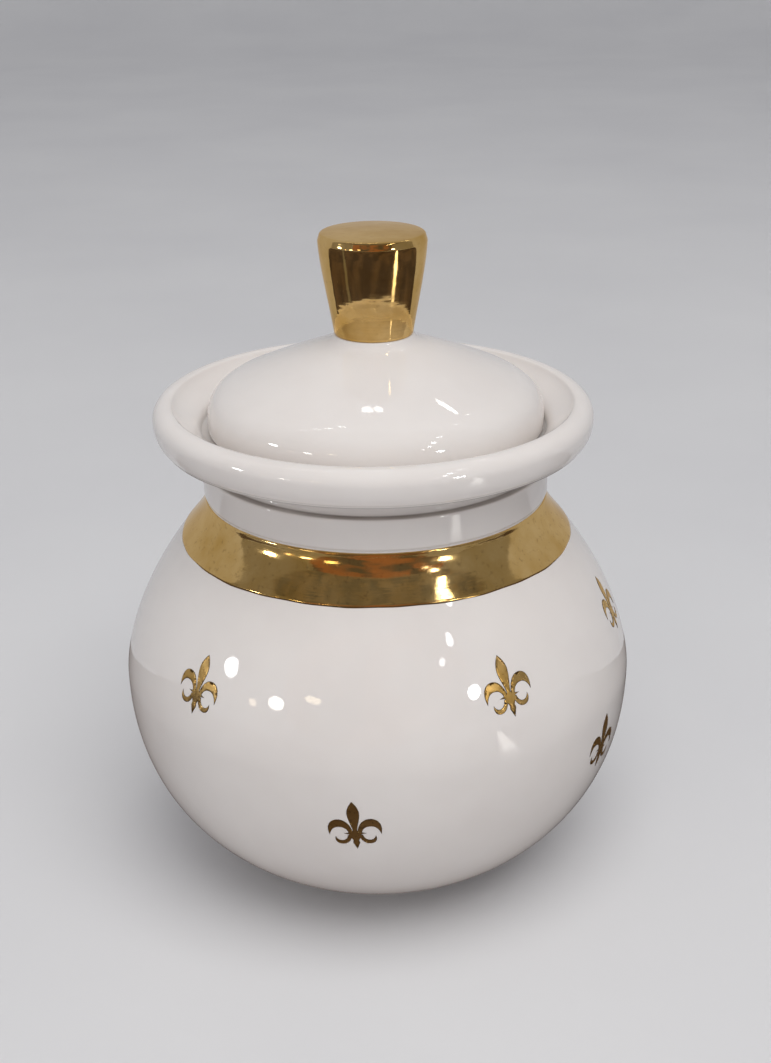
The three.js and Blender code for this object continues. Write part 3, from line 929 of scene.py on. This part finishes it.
make_bowl()
make_band()
for row_name, row, top in (("upper", UPPER_ROW, band_foot), ("lower", LOWER_ROW, BELLY_HEIGHT)):
    for number, fleur_place in enumerate(row, start=1):
        label = f"{row_name}_{number}"
        make_fleur(f"gold_fleur_{label}", f"fleur_{label}", fleur_place, top)
make_lid()
make_knob()

# ---------- studio ----------

HIDDEN_FROM_ALL_BUT_GLOSS = (
    "visible_camera", "visible_diffuse", "visible_shadow", "visible_transmission",
    "visible_volume_scatter",
)
FADE = "fade"
# the noise levels between which a card's two colours blend
PATCH_START = 0.42
PATCH_END = 0.58

# metres
LAMP_DISTANCE = 1.2
WALL_DISTANCE = 0.09
ROOM_HALF = 1.6
ROOM_TALL = 1.5
TABLE_CARD_HEIGHT = 0.0004
STREAK_HEIGHT = 0.0008
GLINT_STAND = 0.001
GLINT_SIDES = 12
FLOOR_INNER = 0.4
FLOOR_FLAT = 1.4
SWEEP_RADIUS = 0.8
SWEEP_STEP_DEGREES = 10
FLOOR_TOP = 2.4
FLOOR_SIDES = 96
aim = Vector((0, 0, BELLY_HEIGHT * MM * 1.3))

WHITE = (1, 1, 1)
GLINT_COLOUR = (1, 0.98, 0.94)
STREAK_COLOUR = (1, 0.97, 0.9)
WORLD_COLOUR = (0.97, 0.975, 1.0)
WORLD_STRENGTH = 0.54
PAPER_DARK = (0.72, 0.72, 0.735)
PAPER_LIGHT = (0.76, 0.76, 0.77)

# how far along or across a streak, and how much of it shows there
STREAK_ROWS = ((0, 0), (0.04, 0.08), (0.09, 0.35), (0.15, 1), (1, 1))
STREAK_SIDES = ((-1, 0), (-0.7, 0.4), (-0.4, 1), (0.4, 1), (0.7, 0.4), (1, 0))
# name, azimuth, near end, far end, width, strength
STREAKS = (
    ("streak_right", 50, 0.105, 0.90, 0.036, 4.0),
    ("streak_left", -62, 0.10, 0.80, 0.036, 0.22),
)
# each glint's place on the wall (x, z), its width, its height and its strength
# The places are another program's numbers: they were typed in from the output of a scratch ray
# caster that started from highlights seen in the photo. report.md lists this as a departure.
GLINTS = (
    (-0.343, 0.790, 0.036, 0.075, 8), (-0.210, 0.660, 0.028, 0.075, 8),
    (-0.145, 0.616, 0.027, 0.078, 8), (-0.087, 0.544, 0.022, 0.068, 8),
    (-0.012, 0.334, 0.015, 0.012, 9), (0.003, 0.331, 0.013, 0.012, 9),
    (0.072, 0.259, 0.017, 0.011, 12), (0.109, 0.280, 0.010, 0.010, 7),
    (0.187, 0.440, 0.020, 0.036, 7), (-0.015, 0.246, 0.006, 0.004, 6),
)
# name, azimuth, elevation, width and height in degrees, radiance, colour
SOFTBOXES = (
    ("softbox_top", 20, 66, 46, 46, 2.95, (1, 0.985, 0.965)),
    ("softbox_front", -15, 24, 50, 40, 0.88, (1, 0.98, 0.965)),
)
# The directions came the same way, from another program fed with the photo's highlights.
SPOTS = (
    ("spot_left", -71, 15, 6.5, 5.8, 26, WHITE),
    ("spot_left_low", -45, 12, 6.5, 3.8, 14, (1, 0.95, 0.86)),
    ("spot_left_warm", -29, 17, 6.5, 2.8, 7, (1, 0.82, 0.55)),
    ("spot_left_small", -56, 9, 3.5, 2.5, 6, (1, 0.80, 0.55)),
    ("spot_right", 43, 16, 6.5, 5.8, 26, WHITE),
    ("strip_right_high", 47, 46, 3, 6.5, 22, WHITE),
    ("strip_right_mid", 39, 35, 3, 4, 14, WHITE),
    ("strip_right_low", 32, 29, 3, 3.2, 9, WHITE),
    ("spot_lid_right", 66, 58, 4, 3.5, 9, WHITE),
)


def glow_material(name, colour, strength, other, patch):
    s = Shader(name)
    glow = s.glow(strength)
    if other:
        tone = s.ramp(s.noise(patch), PATCH_START, PATCH_END)
        s.put(s.colour_mix(tone, rgb(*colour), rgb(*other)), glow.inputs["Color"])
    else:
        glow.inputs["Color"].default_value = rgb(*colour)
    s.surface(glow.outputs[0])
    return s.material


def fading_material(name, colour, strength):
    """A glow that thins out to nothing where the mesh's fade is 0."""
    s = Shader(name)
    glow = s.glow(strength)
    glow.inputs["Color"].default_value = rgb(*colour)
    fade = s.nodes.new("ShaderNodeAttribute")
    fade.attribute_name = FADE
    blend = s.nodes.new("ShaderNodeMixShader")
    s.put(fade.outputs["Fac"], blend.inputs[0])
    s.put(s.nodes.new("ShaderNodeBsdfTransparent").outputs[0], blend.inputs[1])
    s.put(glow.outputs[0], blend.inputs[2])
    s.surface(blend.outputs[0])
    return s.material


def place_card(name, mesh, material):
    """Adds a mesh that only shows in reflections."""
    mesh.materials.append(material)
    piece = bpy.data.objects.new(name, mesh)
    bpy.context.scene.collection.objects.link(piece)
    for flag in HIDDEN_FROM_ALL_BUT_GLOSS:
        setattr(piece, flag, False)


def card(name, corners, colour, strength=1.0, other=None, patch=0.3):
    """A flat card in patches of one or two colours."""
    mesh = bpy.data.meshes.new(name)
    mesh.from_pydata([Vector(c) for c in corners], [], [list(range(len(corners)))])
    place_card(name, mesh, glow_material(name, colour, strength, other, patch))


def streak(name, azimuth, near, far, width, strength):
    """A streak along the table, with soft sides and a soft near end."""
    along = bearing(azimuth, 0)
    across = Vector((-along.y, along.x, 0)) * width / 2
    rows = [(near + (far - near) * t, fade) for t, fade in STREAK_ROWS]
    lift = Vector((0, 0, STREAK_HEIGHT))
    corners = [
        along * reach + across * side + lift for reach, _ in rows for side, _ in STREAK_SIDES
    ]
    fades = [row_fade * side_fade for _, row_fade in rows for _, side_fade in STREAK_SIDES]
    n = len(STREAK_SIDES)
    faces = [
        (r * n + c, r * n + c + 1, (r + 1) * n + c + 1, (r + 1) * n + c)
        for r in range(len(rows) - 1) for c in range(n - 1)
    ]
    mesh = bpy.data.meshes.new(name)
    mesh.from_pydata(corners, [], faces)
    mesh.attributes.new(FADE, "FLOAT", "POINT").data.foreach_set("value", fades)
    place_card(name, mesh, fading_material(name, STREAK_COLOUR, strength))


def make_floor():
    """A pale floor that sweeps up far behind, all round."""
    rings = [(0, 0), (FLOOR_INNER, 0), (FLOOR_FLAT, 0)]
    for degrees in range(SWEEP_STEP_DEGREES, 91, SWEEP_STEP_DEGREES):
        a = math.radians(degrees)
        rings.append((
            FLOOR_FLAT + SWEEP_RADIUS * math.sin(a), SWEEP_RADIUS - SWEEP_RADIUS * math.cos(a),
        ))
    rings.append((FLOOR_FLAT + SWEEP_RADIUS, FLOOR_TOP))
    bm = bmesh.new()
    sides = FLOOR_SIDES
    loops = []
    for radius, height in rings:
        if radius == 0:
            loops.append([bm.verts.new((0, 0, height))])
            continue
        loop = []
        for i in range(sides):
            a = 2 * math.pi * i / sides
            loop.append(bm.verts.new((radius * math.cos(a), radius * math.sin(a), height)))
        loops.append(loop)
    for lower, upper in zip(loops, loops[1:]):
        for i in range(sides):
            j = (i + 1) % sides
            if len(lower) == 1:
                bm.faces.new((lower[0], upper[i], upper[j]))
            else:
                bm.faces.new((lower[i], upper[i], upper[j], lower[j]))
    mesh = bpy.data.meshes.new("studio_floor")
    bm.to_mesh(mesh)
    bm.free()
    for polygon in mesh.polygons:
        polygon.use_smooth = True
    s = Shader("studio_paper")
    tone = s.ramp(s.noise(0.12, detail=3), 0.3, 0.7)
    s.put(s.colour_mix(tone, rgb(*PAPER_DARK), rgb(*PAPER_LIGHT)), s.bsdf.inputs["Base Color"])
    s.bsdf.inputs["Roughness"].default_value = 0.9
    s.bsdf.inputs["Specular IOR Level"].default_value = 0.1
    mesh.materials.append(s.material)
    floor = bpy.data.objects.new("studio_floor", mesh)
    bpy.context.scene.collection.objects.link(floor)


def bearing(azimuth, elevation):
    """Unit direction from the bowl: azimuth from the front towards +X, elevation upwards."""
    a, e = math.radians(azimuth), math.radians(elevation)
    return Vector((math.sin(a) * math.cos(e), -math.cos(a) * math.cos(e), math.sin(e)))


def lamp(name, azimuth, elevation, width, height, radiance, colour, lights_glaze=False):
    """A disc or oval lamp of an angular size in degrees, aimed at the bowl.

    Soft boxes light the glaze and don't show in it. The others only show as bright spots.
    """
    distance = LAMP_DISTANCE
    data = bpy.data.lights.new(name, "AREA")
    data.shape = "ELLIPSE"
    data.size = 2 * distance * math.tan(math.radians(width / 2))
    data.size_y = 2 * distance * math.tan(math.radians(height / 2))
    data.energy = radiance * math.pi * (math.pi * data.size * data.size_y / 4)
    data.color = colour
    light = bpy.data.objects.new(name, data)
    light.location = aim + bearing(azimuth, elevation) * distance
    light.rotation_euler = bearing(azimuth, elevation).to_track_quat("Z", "Y").to_euler()
    light.visible_glossy = not lights_glaze
    light.visible_diffuse = lights_glaze
    light.visible_camera = False
    bpy.context.scene.collection.objects.link(light)


def make_lights():
    for softbox in SOFTBOXES:
        lamp(*softbox, lights_glaze=True)
    for spot in SPOTS:
        lamp(*spot)


def glint(name, x, z, width, height, strength):
    """A small bright spot on the wall card."""
    corners = []
    for i in range(GLINT_SIDES):
        a = 2 * math.pi * i / GLINT_SIDES
        corners.append((
            x + width / 2 * math.cos(a), WALL_DISTANCE - GLINT_STAND, z + height / 2 * math.sin(a),
        ))
    card(name, corners, GLINT_COLOUR, strength)


def make_cards():
    low, tall, half, wall = TABLE_CARD_HEIGHT, ROOM_TALL, ROOM_HALF, WALL_DISTANCE
    card(
        "dark_table",
        [(-half, -half, low), (half, -half, low), (half, wall, low), (-half, wall, low)],
        (0.070, 0.056, 0.053), other=(0.12, 0.092, 0.082), patch=0.11,
    )
    card(
        "pale_wall",
        [(-half, wall, low), (half, wall, low), (half, wall, tall), (-half, wall, tall)],
        (0.50, 0.495, 0.51),
    )
    card(
        "ceiling",
        [(-half, -half, tall), (half, -half, tall), (half, wall, tall), (-half, wall, tall)],
        (0.15, 0.145, 0.14), other=(0.25, 0.22, 0.19), patch=0.25,
    )
    card(
        "room_front",
        [(-half, -half, low), (half, -half, low), (half, -half, tall), (-half, -half, tall)],
        (0.12, 0.108, 0.10), other=(0.34, 0.17, 0.10), patch=0.45,
    )
    for side, colour in ((-1, (0.27, 0.255, 0.24)), (1, (0.28, 0.27, 0.26))):
        x = side * half
        card(
            f"room_side_{side}",
            [(x, -half, low), (x, wall, low), (x, wall, tall), (x, -half, tall)], colour,
        )
    # a row of small lights high on the wall, which dots the crown of the lid
    for i, place in enumerate(GLINTS, start=1):
        glint(f"glint_{i}", *place)
    # the streaks that the lamps leave on the table
    for place in STREAKS:
        streak(*place)


def make_world():
    world = bpy.data.worlds.new("studio")
    world.use_nodes = True
    background = world.node_tree.nodes["Background"]
    background.inputs["Color"].default_value = rgb(*WORLD_COLOUR)
    background.inputs["Strength"].default_value = WORLD_STRENGTH
    bpy.context.scene.world = world


# ---------- camera ----------

# millimetres and degrees
CAMERA_DISTANCE = 277.74
CAMERA_HEIGHT = 182.82
CAMERA_PITCH = 22.88
CAMERA_YAW = 0.364
CAMERA_ROLL = -0.572
CAMERA_LENS = 54.19
CAMERA_SENSOR = 36
CAMERA_NEAR = 0.01
CAMERA_FAR = 20


def make_camera():
    pitch = math.radians(CAMERA_PITCH)
    yaw = math.radians(CAMERA_YAW)
    roll = math.radians(CAMERA_ROLL)
    ahead = Vector((
        math.sin(yaw) * math.cos(pitch), math.cos(yaw) * math.cos(pitch), -math.sin(pitch),
    ))
    right = Vector((math.cos(yaw), -math.sin(yaw), 0))
    above = right.cross(ahead)
    rolled_right = math.cos(roll) * right + math.sin(roll) * above
    rolled_above = math.cos(roll) * above - math.sin(roll) * right
    turn = Matrix((rolled_right, rolled_above, -ahead)).transposed().to_4x4()
    data = bpy.data.cameras.new("camera")
    data.sensor_width = CAMERA_SENSOR
    data.lens = CAMERA_LENS
    data.clip_start = CAMERA_NEAR
    data.clip_end = CAMERA_FAR
    camera = bpy.data.objects.new("camera", data)
    place = Vector((0, -CAMERA_DISTANCE, CAMERA_HEIGHT)) * MM
    camera.matrix_world = Matrix.Translation(place) @ turn
    bpy.context.scene.collection.objects.link(camera)
    bpy.context.scene.camera = camera


make_floor()
make_cards()
make_lights()
make_world()
make_camera()
bpy.context.scene.view_settings.view_transform = "Standard"
